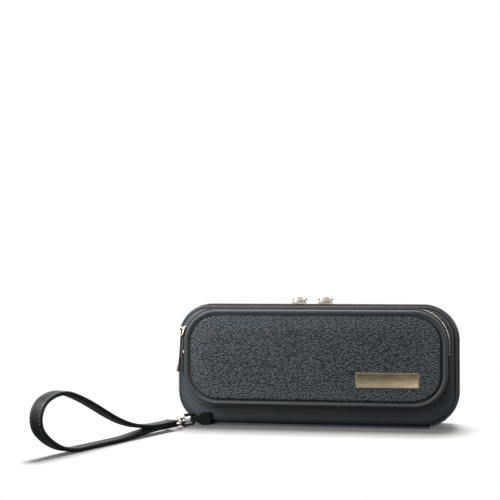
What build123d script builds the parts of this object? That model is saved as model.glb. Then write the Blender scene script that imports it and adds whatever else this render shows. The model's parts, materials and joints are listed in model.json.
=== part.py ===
"""Zip-around leather case for a piccolo, standing on its spine, with a zipped front pocket,
a snap hook and a wrist strap. Millimetres, X along the case, -Y to the front, +Z up.
The zip's parting plane is y = 0 and the case stands on z = 0."""
from build123d import *
from math import asin, cos, degrees, radians, sin
import os

# Case
shell_length = 235
shell_height = 100
shell_corner = 23
back_depth = 24
lid_depth = 18
rim_gap = 5.0
edge_round = 1.8
cover_wall = 1.4
board_wall = 3.6
lining_wall = 1.2
binding_wall = 0.8
piping_width = 1.6
piping_proud = 0.8
spine_wall = 1.6
spine_overlap = 1.5
fold_gap = 0.1
fold_offset = 0.6

# Zips
tape_wall = 0.8
tape_overlap = 3.0
chain_height = 1.8
chain_lap = 0.7
chain_cord = 1.2
tooth_clearance = 0.2
tooth_inset = 0.2
main_tooth_pitch = 5.6
main_zip_end = 6.0
slider_running_gap = 0.35
slider_length = 12.0
slider_width = 7.6
slider_plate = 1.1
slider_corner = 1.6
slider_flange_inset = 1.7
flange_wall = 0.6
left_slider_x = -15.1
right_slider_x = 7.5

# Top pulls
lug_length = 9.0
lug_width = 4.4
lug_height = 4.9
lug_pin_rise = 2.7
pull_pin_radius = 0.8
pin_running_gap = 0.08
top_pull_reach = 24.0
top_pull_width = 7.0
pull_wall = 1.4
top_pull_slope = 8.0
pull_arm = 1.5
pull_corner = 2.0
side_gap = 0.3

# Pocket
pocket_length = 221
pocket_height = 81
pocket_corner = 28
pocket_rise = 7.5
pocket_depth = 11
gusset_wall = 1.6
pocket_slot_width = 7.0
pocket_slot_back = 2.0
pocket_tape_overlap = 0.7
pocket_zip_rise = 5.4
pocket_tooth_pitch = 5.6
pocket_flange_side = 3.0
pocket_flange_head = 0.3
pocket_flange_foot = 4.0
pocket_flange_wall = 1.2
panel_margin = 3.6
panel_crown = 3.0
panel_crown_spread = 15
panel_crown_steps = 3
panel_lining_wall = 0.8
pocket_piping_depth = 2.2
pocket_piping_bevel = 0.9
stop_length = 2.2

# Pocket slider and pull
pocket_slider_length = 10.0
pocket_slider_width = 6.4
pocket_slider_turn = 16.0
pocket_slider_sag = 0.5
crown_length = 7.0
crown_height = 4.6
crown_bar_rise = 2.25
crown_width = 2.6
crown_bar = 1.2
pocket_pull_reach = 35.0
pocket_pull_width = 6.4
pocket_pull_tilt = 9.0
pull_slot_length = 17.0
pull_slot_width = 2.2

# Name plate, left bare
plate_length = 53
plate_height = 13.3
plate_wall = 1.2
plate_bevel = 0.5
plate_side = 49.5
plate_rise = 22.9
plate_seat = 2.6

# Instrument bed and lid pad
bed_clearance = 0.3
bed_front = 6.0
body_channel_radius = 9.5
body_channel_length = 205
body_channel_rise = 17.0
head_channel_radius = 8.5
head_channel_length = 128
head_channel_rise = -20.0
head_channel_x = -34.0
channel_axis_drop = 1.0
well_length = 58
well_height = 26
well_depth = 9
well_corner = 3
well_x = 68.0
pad_length = 196
pad_height = 66
pad_wall = 4.0
pad_crown = 1.4
pad_corner = 12

# Tab, snap hook, swivel eye and wrist strap
tab_inset = 14.5
tab_bore_radius = 2.2
tab_wall = 1.5
tab_root_x = 14.0
tab_root_height = 11.0
tab_nose_height = 5.0
tab_gap = 0.25
hook_turn = 66.0
hook_wire = 2.6
hook_inner_length = 15.0
hook_inner_height = 5.8
hook_floor_gap = 0.3
hook_corner = 4.0
hook_inner_corner = 1.6
neck_length = 6.5
neck_radius = 3.2
gate_width = 1.4
gate_height = 1.9
gate_pin_radius = 0.5
gate_reach = 7.7
mouth_start = 5.0
mouth_end = 11.4
gate_pivot = 12.8
gate_notch = 0.7
stem_radius = 1.1
stem_running_gap = 0.08
stem_head_radius = 1.9
stem_head_length = 2.2
eye_wire = 2.2
eye_inner_width = 11.8
eye_length = 7.0
eye_corner = 1.6
strap_width = 11.0
strap_wall = 3.0
strap_layer = 1.5
strap_bar_gap = 0.3
strap_tail = 20.0
strap_tail_height = 5.2
strap_rise_run = 56.0
strap_foot_run = 44.0
strap_sole_radius = 55.0
strap_sole_turn = 45.0
strap_nose_radius = 15.0
strap_nose_turn = 112.0
strap_crown_radius = 35.0
strap_crown_turn = 42.0

os.makedirs("parts", exist_ok=True)

shell_mid = spine_wall + shell_height / 2
wall = cover_wall + board_wall + lining_wall
pocket_mid = shell_mid + pocket_rise
pocket_zip_end = pocket_mid + pocket_zip_rise
tab_x = tab_inset - shell_length / 2


def save(part, name):
    """Label a finished piece and write it under its own name."""
    part.label = name
    export_step(part, f"parts/{name}.step")


def face_plane(y, middle=shell_mid):
    """Upright plane across the case, seen from the front, centred at the given height."""
    return Plane(origin=(0, y, middle), x_dir=(1, 0, 0), z_dir=(0, -1, 0))


def edges_at(part, y):
    """Edges that lie wholly in one upright plane."""
    return part.edges().filter_by_position(Axis.Y, y - 0.01, y + 0.01)


def tray(side, depth, inset, skin, edge=0):
    """One open half: a skin on the outline of the case, drawn in by the skins outside it."""
    bottom = side * (depth - inset)
    with BuildPart() as half:
        with BuildSketch(face_plane(side * rim_gap)):
            RectangleRounded(shell_length - 2 * inset, shell_height - 2 * inset, shell_corner - inset)
        extrude(amount=-side * (depth - inset - rim_gap))
        if edge > 0:
            chamfer(edges_at(half, bottom), edge)
        inner = inset + skin
        with BuildSketch(face_plane(side * rim_gap)):
            RectangleRounded(shell_length - 2 * inner, shell_height - 2 * inner, shell_corner - inner)
        extrude(amount=-side * (depth - inner - rim_gap), mode=Mode.SUBTRACT)
    return half.part


def ring(start, end, length, height, corner, band, middle=shell_mid, lowest=None):
    """A rounded frame between two upright planes; lowest cuts it off to an arch."""
    with BuildPart() as frame:
        with BuildSketch(face_plane(start, middle)):
            RectangleRounded(length, height, corner)
            inner_corner = corner - band
            RectangleRounded(length - 2 * band, height - 2 * band, inner_corner, mode=Mode.SUBTRACT)
            if lowest is not None:
                cut = lowest - middle + height
                with Locations((0, -height)):
                    Rectangle(2 * length, 2 * cut, mode=Mode.SUBTRACT)
        extrude(amount=start - end)
    return frame.part


def tooth_row(root, side, meeting, length, height, corner, pitch, middle, lowest):
    """One half of a zip chain: the tape's corded edge with its teeth, which lap the other half."""
    with BuildLine() as loop:
        x, z = length / 2, height / 2
        FilletPolyline((-x, -z), (x, -z), (x, z), (-x, z), radius=corner, close=True)
    line = loop.wire()
    count = 2 * round(line.length / pitch / 2)
    phase = 0.25 if side > 0 else 0.75
    tooth_length = line.length / count / 2 - tooth_clearance
    places = []
    for index in range(count):
        share = (index + phase) / count
        spot = line.position_at(share)
        if spot.Y + middle > lowest + tooth_length / 2:
            places.append(Location((spot.X, spot.Y, 0), (0, 0, line.tangent_angle_at(share))))
    cord_start = meeting + side * chain_lap + side * tooth_clearance
    with BuildPart() as row:
        with BuildSketch(face_plane(cord_start, middle)):
            half = chain_height / 2
            RectangleRounded(length + 2 * half, height + 2 * half, corner + half)
            RectangleRounded(length - 2 * half, height - 2 * half, corner - half, mode=Mode.SUBTRACT)
            with Locations((0, -height)):
                Rectangle(2 * length, 2 * (lowest - middle + height), mode=Mode.SUBTRACT)
        extrude(amount=cord_start - root)
        with BuildSketch(face_plane(cord_start, middle)):
            with Locations(*places):
                Rectangle(tooth_length, chain_height - 2 * tooth_inset)
        extrude(amount=side * (2 * chain_lap + tooth_clearance))
    return row.part


def stop_blocks(base_y, top_y, places):
    """Pressed metal end stops of a zip, one block at each place, between two upright planes."""
    with BuildPart() as stops:
        with BuildSketch(face_plane(base_y)):
            with Locations(*places):
                Rectangle(stop_length, chain_height)
        extrude(amount=base_y - top_y)
    return stops.part


def slider_shoe(base, length, width, under_width, sag):
    """The two plates of a zip slider over and under its chain, with one flange behind."""
    top = chain_height / 2 + slider_running_gap
    with BuildPart() as shoe:
        with BuildSketch(base.offset(top)):
            Rectangle(length, width)
            chamfer(vertices(), slider_corner)
        extrude(amount=slider_plate)
        with BuildSketch(base.offset(top)):
            with Locations((0, (width - flange_wall) / 2)):
                Rectangle(length - 2 * slider_flange_inset, flange_wall)
        extrude(amount=slider_running_gap - top)
        with BuildSketch(base.offset(-top - sag)):
            Rectangle(length, under_width)
            chamfer(vertices(), slider_corner)
        extrude(amount=-slider_plate)
    return shoe.part


def travel_plane(base):
    """Plane through a slider's middle, along its travel and outward, seen from its front."""
    return Plane(origin=base.origin, x_dir=base.x_dir, z_dir=-base.y_dir)


# Back half: leather cover, board, plush lining and rim binding
back_cover = tray(1, back_depth, 0, cover_wall, edge_round)
save(back_cover, "back_cover")
back_board = tray(1, back_depth, cover_wall, board_wall)
save(back_board, "back_board")
back_lining = tray(1, back_depth, cover_wall + board_wall, lining_wall)
save(back_lining, "back_lining")
back_rim_binding = ring(
    rim_gap - binding_wall, rim_gap, shell_length, shell_height, shell_corner, wall
)
save(back_rim_binding, "back_rim_binding")

# Lid half: the same four skins, shallower
lid_cover = tray(-1, lid_depth, 0, cover_wall, edge_round)
save(lid_cover, "lid_cover")
lid_board = tray(-1, lid_depth, cover_wall, board_wall)
save(lid_board, "lid_board")
lid_lining = tray(-1, lid_depth, cover_wall + board_wall, lining_wall)
save(lid_lining, "lid_lining")
lid_rim_binding = ring(
    -rim_gap, -rim_gap + binding_wall, shell_length, shell_height, shell_corner, wall
)
save(lid_rim_binding, "lid_rim_binding")

# Spine: one leather strip under both halves, folded along the hinge line
spine_length = shell_length - 2 * shell_corner + 2 * spine_overlap
with BuildPart() as spine_back_leaf:
    with BuildSketch():
        leaf = back_depth - edge_round + fold_offset - fold_gap
        with Locations((0, back_depth - edge_round - leaf / 2)):
            Rectangle(spine_length, leaf)
    extrude(amount=spine_wall)
save(spine_back_leaf.part, "spine_back_leaf")

with BuildPart() as spine_lid_leaf:
    with BuildSketch():
        leaf = lid_depth - edge_round - fold_offset - fold_gap
        with Locations((0, -(lid_depth - edge_round) + leaf / 2)):
            Rectangle(spine_length, leaf)
    extrude(amount=spine_wall)
save(spine_lid_leaf.part, "spine_lid_leaf")

# Main zip: two tapes round the rims and two rows of teeth that lap at the parting plane
tape_length = shell_length + 2 * tape_wall
tape_height = shell_height + 2 * tape_wall
tape_corner = shell_corner + tape_wall
cord_root = chain_lap + tooth_clearance + chain_cord
tape_foot = spine_wall + tooth_clearance
for side, body in ((1, "back"), (-1, "lid")):
    tape = ring(
        side * cord_root, side * (rim_gap + tape_overlap), tape_length, tape_height,
        tape_corner, tape_wall, lowest=tape_foot,
    )
    save(tape, f"main_zip_tape_{body}")
    teeth = tooth_row(
        side * cord_root, side, 0, tape_length, tape_height, tape_corner,
        main_tooth_pitch, shell_mid, main_zip_end,
    )
    save(teeth, f"main_zip_teeth_{body}")


# Leather piping round the outer edge of both halves, open along the spine
for side, depth, body in ((1, back_depth, "back"), (-1, lid_depth, "lid")):
    piping = ring(
        side * (depth - edge_round - piping_width), side * (depth - edge_round),
        shell_length + 2 * piping_proud, shell_height + 2 * piping_proud,
        shell_corner + piping_proud, piping_proud, lowest=tape_foot,
    )
    save(piping, f"{body}_piping")

# Zip stops at the ends of the main zip, low on both bottom corners
stop_radius = shell_corner + tape_wall
corner_x = shell_length / 2 - shell_corner
corner_z = shell_height / 2 - shell_corner
stop_centre = main_zip_end - stop_length / 2 - 2 * tooth_clearance
stop_drop = asin((shell_mid - corner_z - stop_centre) / stop_radius)
stop_x = corner_x + stop_radius * cos(stop_drop)
stop_z = -corner_z - stop_radius * sin(stop_drop)
stop_angle = 90 - degrees(stop_drop)
main_stops = [
    Location((stop_x, stop_z, 0), (0, 0, stop_angle)),
    Location((-stop_x, stop_z, 0), (0, 0, -stop_angle)),
]
for side, body in ((1, "back"), (-1, "lid")):
    stops = stop_blocks(side * tooth_clearance, side * cord_root, main_stops)
    save(stops, f"main_zip_stops_{body}")

# Instrument bed: foam block with channels for the body joint and head joint and a well
bed_inset = wall + bed_clearance
bed_floor = back_depth - wall
with BuildPart() as instrument_bed:
    with BuildSketch(face_plane(bed_front)):
        RectangleRounded(
            shell_length - 2 * bed_inset, shell_height - 2 * bed_inset, shell_corner - bed_inset
        )
    extrude(amount=bed_front - bed_floor)
    channel_y = bed_front + channel_axis_drop
    with Locations((0, channel_y, shell_mid + body_channel_rise)):
        Cylinder(
            body_channel_radius, body_channel_length, rotation=(0, 90, 0), mode=Mode.SUBTRACT
        )
    with Locations((head_channel_x, channel_y, shell_mid + head_channel_rise)):
        Cylinder(
            head_channel_radius, head_channel_length, rotation=(0, 90, 0), mode=Mode.SUBTRACT
        )
    with BuildSketch(face_plane(bed_front)):
        with Locations((well_x, head_channel_rise)):
            RectangleRounded(well_length, well_height, well_corner)
    extrude(amount=-well_depth, mode=Mode.SUBTRACT)
save(instrument_bed.part, "instrument_bed")

# Crowned pad inside the lid
lid_floor = lid_depth - wall
pad_face = pad_wall + pad_crown - lid_floor
with BuildPart() as lid_pad:
    with BuildSketch(face_plane(-lid_floor)):
        RectangleRounded(pad_length, pad_height, pad_corner)
    extrude(amount=-pad_wall - pad_crown)
    chamfer(edges_at(lid_pad, pad_face), pad_crown, 2 * pad_wall)
save(lid_pad.part, "lid_pad")

# Front pocket: flange sewn to the lid, gusset with the zip's slot, piping, panel and lining
pocket_front = -(lid_depth + pocket_depth)
pocket_slot_foot = pocket_zip_end - stop_length - 2 * tooth_clearance
with BuildPart() as pocket_flange:
    with BuildSketch(face_plane(-lid_depth, pocket_mid)):
        drop = (pocket_flange_head - pocket_flange_foot) / 2
        with Locations((0, drop)):
            RectangleRounded(
                pocket_length + 2 * pocket_flange_side,
                pocket_height + pocket_flange_head + pocket_flange_foot,
                pocket_corner + pocket_flange_head,
            )
        RectangleRounded(pocket_length, pocket_height, pocket_corner, mode=Mode.SUBTRACT)
    extrude(amount=pocket_flange_wall)
save(pocket_flange.part, "pocket_flange")

with BuildPart() as pocket_gusset:
    add(ring(
        -lid_depth, pocket_front, pocket_length, pocket_height, pocket_corner, gusset_wall,
        pocket_mid,
    ))
    with BuildSketch(face_plane(-lid_depth - pocket_slot_back, pocket_slot_foot)):
        with Locations((0, pocket_height)):
            Rectangle(2 * pocket_length, 2 * pocket_height)
    extrude(amount=pocket_slot_width, mode=Mode.SUBTRACT)
save(pocket_gusset.part, "pocket_gusset")

with BuildPart() as pocket_piping:
    add(ring(
        pocket_front, pocket_front - pocket_piping_depth, pocket_length, pocket_height,
        pocket_corner, panel_margin, pocket_mid,
    ))
    chamfer(edges_at(pocket_piping, pocket_front - pocket_piping_depth), pocket_piping_bevel)
save(pocket_piping.part, "pocket_piping")

panel_length = pocket_length - 2 * panel_margin
panel_height = pocket_height - 2 * panel_margin
panel_corner = pocket_corner - panel_margin
plate_seat_y = pocket_front - plate_seat
plate_x = pocket_length / 2 - plate_side
plate_drop = pocket_height / 2 - plate_rise
with BuildPart() as pocket_panel:
    for step in range(panel_crown_steps + 1):
        turn = radians(90 * step / panel_crown_steps)
        inset = panel_crown_spread * (1 - cos(turn))
        with BuildSketch(face_plane(pocket_front - panel_crown * sin(turn), pocket_mid)):
            RectangleRounded(
                panel_length - 2 * inset, panel_height - 2 * inset, panel_corner - inset
            )
    loft(ruled=True)
    with BuildSketch(face_plane(plate_seat_y, pocket_mid)):
        with Locations((plate_x, -plate_drop)):
            Rectangle(plate_length, plate_height)
    extrude(amount=panel_crown, mode=Mode.SUBTRACT)
save(pocket_panel.part, "pocket_panel")

with BuildPart() as name_plate:
    with BuildSketch(face_plane(plate_seat_y, pocket_mid)):
        with Locations((plate_x, -plate_drop)):
            Rectangle(plate_length, plate_height)
    extrude(amount=plate_wall)
    chamfer(edges_at(name_plate, plate_seat_y - plate_wall), plate_bevel)
save(name_plate.part, "name_plate")

with BuildPart() as pocket_lining:
    with BuildSketch(face_plane(pocket_front + panel_lining_wall, pocket_mid)):
        RectangleRounded(
            pocket_length - 2 * gusset_wall, pocket_height - 2 * gusset_wall,
            pocket_corner - gusset_wall,
        )
    extrude(amount=panel_lining_wall)
save(pocket_lining.part, "pocket_lining")

# Pocket zip, from the left side over the top to the right side
pocket_meeting = -(lid_depth + pocket_slot_back + pocket_slot_width / 2)
pocket_tape_length = pocket_length + 2 * tape_wall
pocket_tape_height = pocket_height + 2 * tape_wall
pocket_tape_corner = pocket_corner + tape_wall
tape_edge = pocket_slot_width / 2 + pocket_tape_overlap
for side, place in ((1, "rear"), (-1, "front")):
    tape = ring(
        pocket_meeting + side * cord_root, pocket_meeting + side * tape_edge,
        pocket_tape_length, pocket_tape_height, pocket_tape_corner, tape_wall,
        pocket_mid, pocket_zip_end - 2 * stop_length,
    )
    save(tape, f"pocket_zip_tape_{place}")
    teeth = tooth_row(
        pocket_meeting + side * cord_root, side, pocket_meeting, pocket_tape_length,
        pocket_tape_height, pocket_tape_corner, pocket_tooth_pitch, pocket_mid, pocket_zip_end,
    )
    save(teeth, f"pocket_zip_teeth_{place}")

pocket_stop_z = pocket_zip_end - stop_length / 2 - tooth_clearance - shell_mid
pocket_stop_x = pocket_tape_length / 2
quarter = 90
pocket_stops = stop_blocks(
    pocket_meeting + cord_root, pocket_meeting - cord_root,
    [
        Location((pocket_stop_x, pocket_stop_z, 0), (0, 0, quarter)),
        Location((-pocket_stop_x, pocket_stop_z, 0), (0, 0, quarter)),
    ],
)
save(pocket_stops, "pocket_zip_stops")


# Top sliders with a domed lug each, and the stirrup pulls that lie back over the case
lug_foot = chain_height / 2 + slider_running_gap + slider_plate
line_top = spine_wall + shell_height + tape_wall
pin_z = line_top + lug_foot + lug_pin_rise
arm_start = lug_length / 2 + side_gap
stirrup_width = 2 * (arm_start + pull_arm)
slope = radians(top_pull_slope)
for slider_x, place in ((left_slider_x, "left"), (right_slider_x, "right")):
    base = Plane(origin=(slider_x, 0, line_top), x_dir=(1, 0, 0), z_dir=(0, 0, 1))
    with BuildPart() as slider:
        add(slider_shoe(base, slider_length, slider_width, slider_width, 0))
        with BuildSketch(travel_plane(base)):
            with BuildLine():
                dome = ThreePointArc(
                    (-lug_length / 2, lug_foot), (0, lug_foot + lug_height),
                    (lug_length / 2, lug_foot),
                )
                Line(dome @ 1, dome @ 0)
            make_face()
        extrude(amount=lug_width / 2, both=True)
        with Locations((slider_x, 0, pin_z)):
            Cylinder(
                pull_pin_radius + pin_running_gap, lug_length, rotation=(0, 90, 0),
                mode=Mode.SUBTRACT,
            )
    save(slider.part, f"top_slider_{place}")

    lying = Plane(origin=(slider_x, 0, pin_z), x_dir=(1, 0, 0), z_dir=(0, sin(slope), cos(slope)))
    bridge_y = lug_width / 2 + slider_width / 4
    with BuildPart() as pull:
        with BuildSketch(lying.offset(-pull_wall / 2)):
            with Locations((0, bridge_y / 2)):
                Rectangle(stirrup_width, bridge_y + pull_wall + pull_arm)
                Rectangle(2 * arm_start, bridge_y + pull_wall + pull_arm, mode=Mode.SUBTRACT)
            with Locations((0, bridge_y + pull_arm / 2)):
                Rectangle(stirrup_width, pull_arm)
            with Locations((0, (bridge_y + top_pull_reach) / 2)):
                Rectangle(top_pull_width, top_pull_reach - bridge_y)
            fillet(vertices().group_by(Axis.Y)[-1], pull_corner)
        extrude(amount=pull_wall)
        with Locations((slider_x, 0, pin_z)):
            Cylinder(pull_pin_radius, stirrup_width - pull_arm, rotation=(0, 90, 0))
    save(pull.part, f"top_pull_{place}")

# Pocket slider on the upper left corner of the pocket, with an arched crown
corner_centre_x = -(pocket_length / 2 - pocket_corner)
corner_centre_z = pocket_mid + pocket_height / 2 - pocket_corner
turn = radians(pocket_slider_turn)
outward = Vector(-cos(turn), 0, sin(turn))
travel = Vector(sin(turn), 0, cos(turn))
corner_centre = Vector(corner_centre_x, pocket_meeting, corner_centre_z)
pocket_base = Plane(
    origin=corner_centre + outward * pocket_tape_corner, x_dir=travel, z_dir=outward
)
with BuildPart() as pocket_slider:
    add(slider_shoe(
        pocket_base, pocket_slider_length, pocket_slider_width, pocket_slot_width - 2 * side_gap,
        pocket_slider_sag,
    ))
    with BuildSketch(travel_plane(pocket_base)):
        with Locations((0, lug_foot + crown_height / 2)):
            Rectangle(crown_length, crown_height)
            fillet(vertices().group_by(Axis.Y)[-1], crown_bar)
        with Locations((0, lug_foot + (crown_height - crown_bar) / 2)):
            window = crown_length - 2 * crown_bar
            Rectangle(window, crown_height - crown_bar, mode=Mode.SUBTRACT)
    extrude(amount=crown_width / 2, both=True)
save(pocket_slider.part, "pocket_slider")

# Long pocket pull, hung from its crossbar in the crown
tilt = radians(pocket_pull_tilt)
crossbar = pocket_base.origin + outward * (lug_foot + crown_bar_rise)
hanging = Plane(origin=crossbar, x_dir=(0, 1, 0), z_dir=(-cos(tilt), 0, sin(tilt)))
head_inner = crown_width + 2 * side_gap
head_outer = head_inner + 2 * pull_arm
head_length = crown_height
with BuildPart() as pocket_pull:
    with BuildSketch(hanging.offset(-pull_wall / 2)):
        with Locations((0, head_length / 2)):
            Rectangle(head_outer, head_length + pull_wall)
            Rectangle(head_inner, head_length + pull_wall, mode=Mode.SUBTRACT)
        with Locations((0, (head_length + pocket_pull_reach) / 2)):
            Rectangle(pocket_pull_width, pocket_pull_reach - head_length)
        fillet(vertices().group_by(Axis.Y)[-1], pull_corner)
        with Locations((0, head_length + pull_wall + pull_slot_length / 2)):
            SlotOverall(pull_slot_length, pull_slot_width, rotation=90, mode=Mode.SUBTRACT)
    extrude(amount=pull_wall)
    with Locations(crossbar):
        Cylinder(pull_wall / 2, head_outer, rotation=(90, 0, 0))
save(pocket_pull.part, "pocket_pull")

# Leather tab on the lid's lower left corner, folded round a bore for the hook
hook_y = -(lid_depth + tab_gap + tab_wall + tab_bore_radius)
hook_z = hook_floor_gap + hook_wire + hook_inner_height / 2
tab_outer = tab_bore_radius + tab_wall
with BuildPart() as strap_tab:
    with BuildSketch(Plane.XY.offset(hook_z - tab_root_height / 2)):
        with Locations((tab_x, hook_y)):
            Circle(tab_outer)
        with Locations((tab_x + tab_root_x - tab_wall, hook_y + tab_outer - tab_wall)):
            Rectangle(2 * tab_wall, 2 * tab_wall)
        make_hull()
        with Locations((tab_x, hook_y)):
            Circle(tab_bore_radius, mode=Mode.SUBTRACT)
    extrude(amount=tab_root_height)
    with BuildSketch(Plane.XZ.offset(-hook_y)):
        with BuildLine():
            nose = tab_nose_height / 2
            root = tab_root_height / 2
            flare = tab_x + tab_bore_radius + side_gap
            Polyline(
                (tab_x - tab_outer, hook_z - nose), (flare, hook_z - nose),
                (tab_x + tab_root_x / 2, hook_z - root), (tab_x + tab_root_x, hook_z - root),
                (tab_x + tab_root_x, hook_z + root), (tab_x + tab_root_x / 2, hook_z + root),
                (flare, hook_z + nose), (tab_x - tab_outer, hook_z + nose), close=True,
            )
        make_face()
    extrude(amount=tab_outer, both=True, mode=Mode.INTERSECT)
save(strap_tab.part, "strap_tab")

# Snap hook: its frame lies along the strap, turned a little to the front
swing = radians(hook_turn)
along = Vector(-cos(swing), -sin(swing), 0)
across = Vector(-sin(swing), cos(swing), 0)
hook_origin = Vector(tab_x, hook_y, hook_z)
hook_plane = Plane(origin=hook_origin, x_dir=along, z_dir=across)
level_plane = Plane(origin=hook_origin, x_dir=along, z_dir=(0, 0, 1))


def hook_section(reach):
    """Plane square to the hook's length, at a distance from the tab's bore."""
    return Plane(origin=hook_origin + along * reach, x_dir=across, z_dir=along)


half_wire = hook_wire / 2
frame_end = half_wire + hook_inner_length
neck_start = frame_end + half_wire
neck_end = neck_start + neck_length
gate_z = -(hook_inner_height + hook_wire) / 2
with BuildPart() as snap_hook:
    with BuildSketch(hook_plane):
        with Locations(((frame_end + half_wire) / 2, 0)):
            RectangleRounded(
                hook_inner_length + 2 * hook_wire, hook_inner_height + 2 * hook_wire, hook_corner
            )
            RectangleRounded(
                hook_inner_length, hook_inner_height, hook_inner_corner, mode=Mode.SUBTRACT
            )
        with Locations(((mouth_start + mouth_end) / 2, gate_z)):
            Rectangle(mouth_end - mouth_start, 2 * hook_wire - side_gap, mode=Mode.SUBTRACT)
    extrude(amount=half_wire, both=True)
    with BuildSketch(hook_section(frame_end + side_gap)):
        Circle(neck_radius)
    extrude(amount=neck_end - frame_end - side_gap)
    with BuildSketch(hook_plane):
        with Locations(((mouth_end + gate_pivot) / 2 + gate_notch, gate_z)):
            Rectangle(gate_pivot - mouth_end + 2 * gate_notch, hook_wire + side_gap)
    extrude(amount=gate_width / 2 + side_gap / 2, both=True, mode=Mode.SUBTRACT)
    with BuildSketch(hook_plane):
        with Locations((gate_pivot, gate_z)):
            Circle(gate_pin_radius)
    extrude(amount=half_wire, both=True)
    head_start = neck_start + stem_running_gap
    with BuildSketch(hook_section(head_start)):
        Circle(stem_head_radius + side_gap)
    extrude(amount=stem_head_length + 2 * side_gap, mode=Mode.SUBTRACT)
    with BuildSketch(hook_section(head_start)):
        Circle(stem_radius + stem_running_gap)
    extrude(amount=neck_length + hook_wire, mode=Mode.SUBTRACT)
save(snap_hook.part, "snap_hook")

with BuildPart() as hook_gate:
    with BuildSketch(hook_plane):
        with Locations((gate_pivot, gate_z)):
            Circle(gate_height / 2)
        with Locations((gate_pivot - gate_reach / 2, gate_z)):
            Rectangle(gate_reach, gate_height)
        with Locations((gate_pivot, gate_z)):
            Circle(gate_pin_radius + stem_running_gap, mode=Mode.SUBTRACT)
    extrude(amount=gate_width / 2, both=True)
save(hook_gate.part, "hook_gate")

# Swivel eye: headed stem held in the hook's neck, yoke and bar for the strap
yoke_start = neck_end + side_gap
eye_bar = yoke_start + eye_wire + eye_length - eye_wire / 2
eye_width = eye_inner_width + 2 * eye_wire
with BuildPart() as swivel_eye:
    with BuildSketch(level_plane):
        with Locations(((yoke_start + eye_bar + eye_wire / 2) / 2, 0)):
            Rectangle(eye_bar + eye_wire / 2 - yoke_start, eye_width)
            fillet(vertices(), eye_corner)
        with Locations((yoke_start + eye_wire + eye_length, 0)):
            Rectangle(2 * eye_length, eye_inner_width, mode=Mode.SUBTRACT)
    extrude(amount=eye_wire / 2, both=True)
    with BuildSketch(hook_plane):
        with Locations((eye_bar, 0)):
            Circle(eye_wire / 2)
    extrude(amount=(eye_inner_width + eye_wire) / 2, both=True)
    stem_start = head_start + side_gap
    with BuildSketch(hook_section(stem_start)):
        Circle(stem_head_radius)
    extrude(amount=stem_head_length)
    with BuildSketch(hook_section(stem_start)):
        Circle(stem_radius)
    extrude(amount=yoke_start - stem_start + eye_wire / 2)
save(swivel_eye.part, "swivel_eye")

# Wrist strap: leather folded round the eye's bar, sewn into a tail, and a loop that stands on
# its edge: it runs out along the floor, turns up in a long sole and comes back over a small nose
fold_inner = eye_wire / 2 + strap_bar_gap
tail_end = eye_bar + strap_tail
foot_z = hook_floor_gap + strap_wall / 2 - hook_z
branch_x = tail_end - strap_wall
branch_z = (strap_tail_height - strap_wall) / 2
foot_start = (branch_x + strap_rise_run, foot_z)
foot_end = (branch_x + strap_rise_run + strap_foot_run, foot_z)
with BuildPart() as wrist_strap:
    with BuildSketch(hook_plane):
        with BuildLine():
            TangentArc(foot_start, (branch_x, -branch_z), tangent=(-1, 0))
            foot = Line(foot_start, foot_end)
            sole = JernArc(foot @ 1, foot % 1, strap_sole_radius, strap_sole_turn)
            nose = JernArc(sole @ 1, sole % 1, strap_nose_radius, strap_nose_turn)
            crown = JernArc(nose @ 1, nose % 1, strap_crown_radius, strap_crown_turn)
            TangentArc(crown @ 1, (branch_x, branch_z), tangent=crown % 1)
        trace(line_width=strap_wall)
        with Locations(((eye_bar + fold_inner + tail_end) / 2, 0)):
            Rectangle(tail_end - eye_bar - fold_inner, strap_tail_height)
        with Locations((eye_bar, 0)):
            Circle(fold_inner + strap_layer)
            Circle(fold_inner, mode=Mode.SUBTRACT)
    extrude(amount=strap_width / 2, both=True)
save(wrist_strap.part, "wrist_strap")
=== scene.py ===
import bmesh
import bpy
import json
from math import atan2, copysign, cos, hypot, pi, radians, sin
from mathutils import Matrix, Vector


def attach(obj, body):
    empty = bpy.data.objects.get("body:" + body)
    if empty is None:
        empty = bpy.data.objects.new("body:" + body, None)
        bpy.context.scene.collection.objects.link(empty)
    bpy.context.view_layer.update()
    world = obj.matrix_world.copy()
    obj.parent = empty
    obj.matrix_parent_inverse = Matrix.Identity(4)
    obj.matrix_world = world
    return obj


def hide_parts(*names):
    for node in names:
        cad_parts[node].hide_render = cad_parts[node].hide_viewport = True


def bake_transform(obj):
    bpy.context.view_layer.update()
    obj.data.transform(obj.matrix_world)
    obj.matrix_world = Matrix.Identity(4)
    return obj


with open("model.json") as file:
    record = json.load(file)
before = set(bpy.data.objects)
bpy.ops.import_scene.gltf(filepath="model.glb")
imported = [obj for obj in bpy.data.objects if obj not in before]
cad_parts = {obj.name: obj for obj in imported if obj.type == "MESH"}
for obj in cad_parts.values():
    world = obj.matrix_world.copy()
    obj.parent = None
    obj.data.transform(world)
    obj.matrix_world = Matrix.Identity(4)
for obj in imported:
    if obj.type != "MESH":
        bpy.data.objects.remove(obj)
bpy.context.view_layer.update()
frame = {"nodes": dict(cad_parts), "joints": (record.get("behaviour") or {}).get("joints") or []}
MM = 0.001

# Camera: it stands a little to the right of the case and looks almost level, with the case low
# in a square picture. The angles and the focal length are measured from the photograph.
view_turn = radians(8.6)
view_pitch = radians(-0.45)
view_roll = radians(-0.1)
view_aim = Vector((-58.1 * MM, 0, 149.9 * MM))
view_distance = 950 * MM
view_start = 10 * MM
view_focal_px = 1091
picture_px = 500
sensor_width = 36

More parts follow.
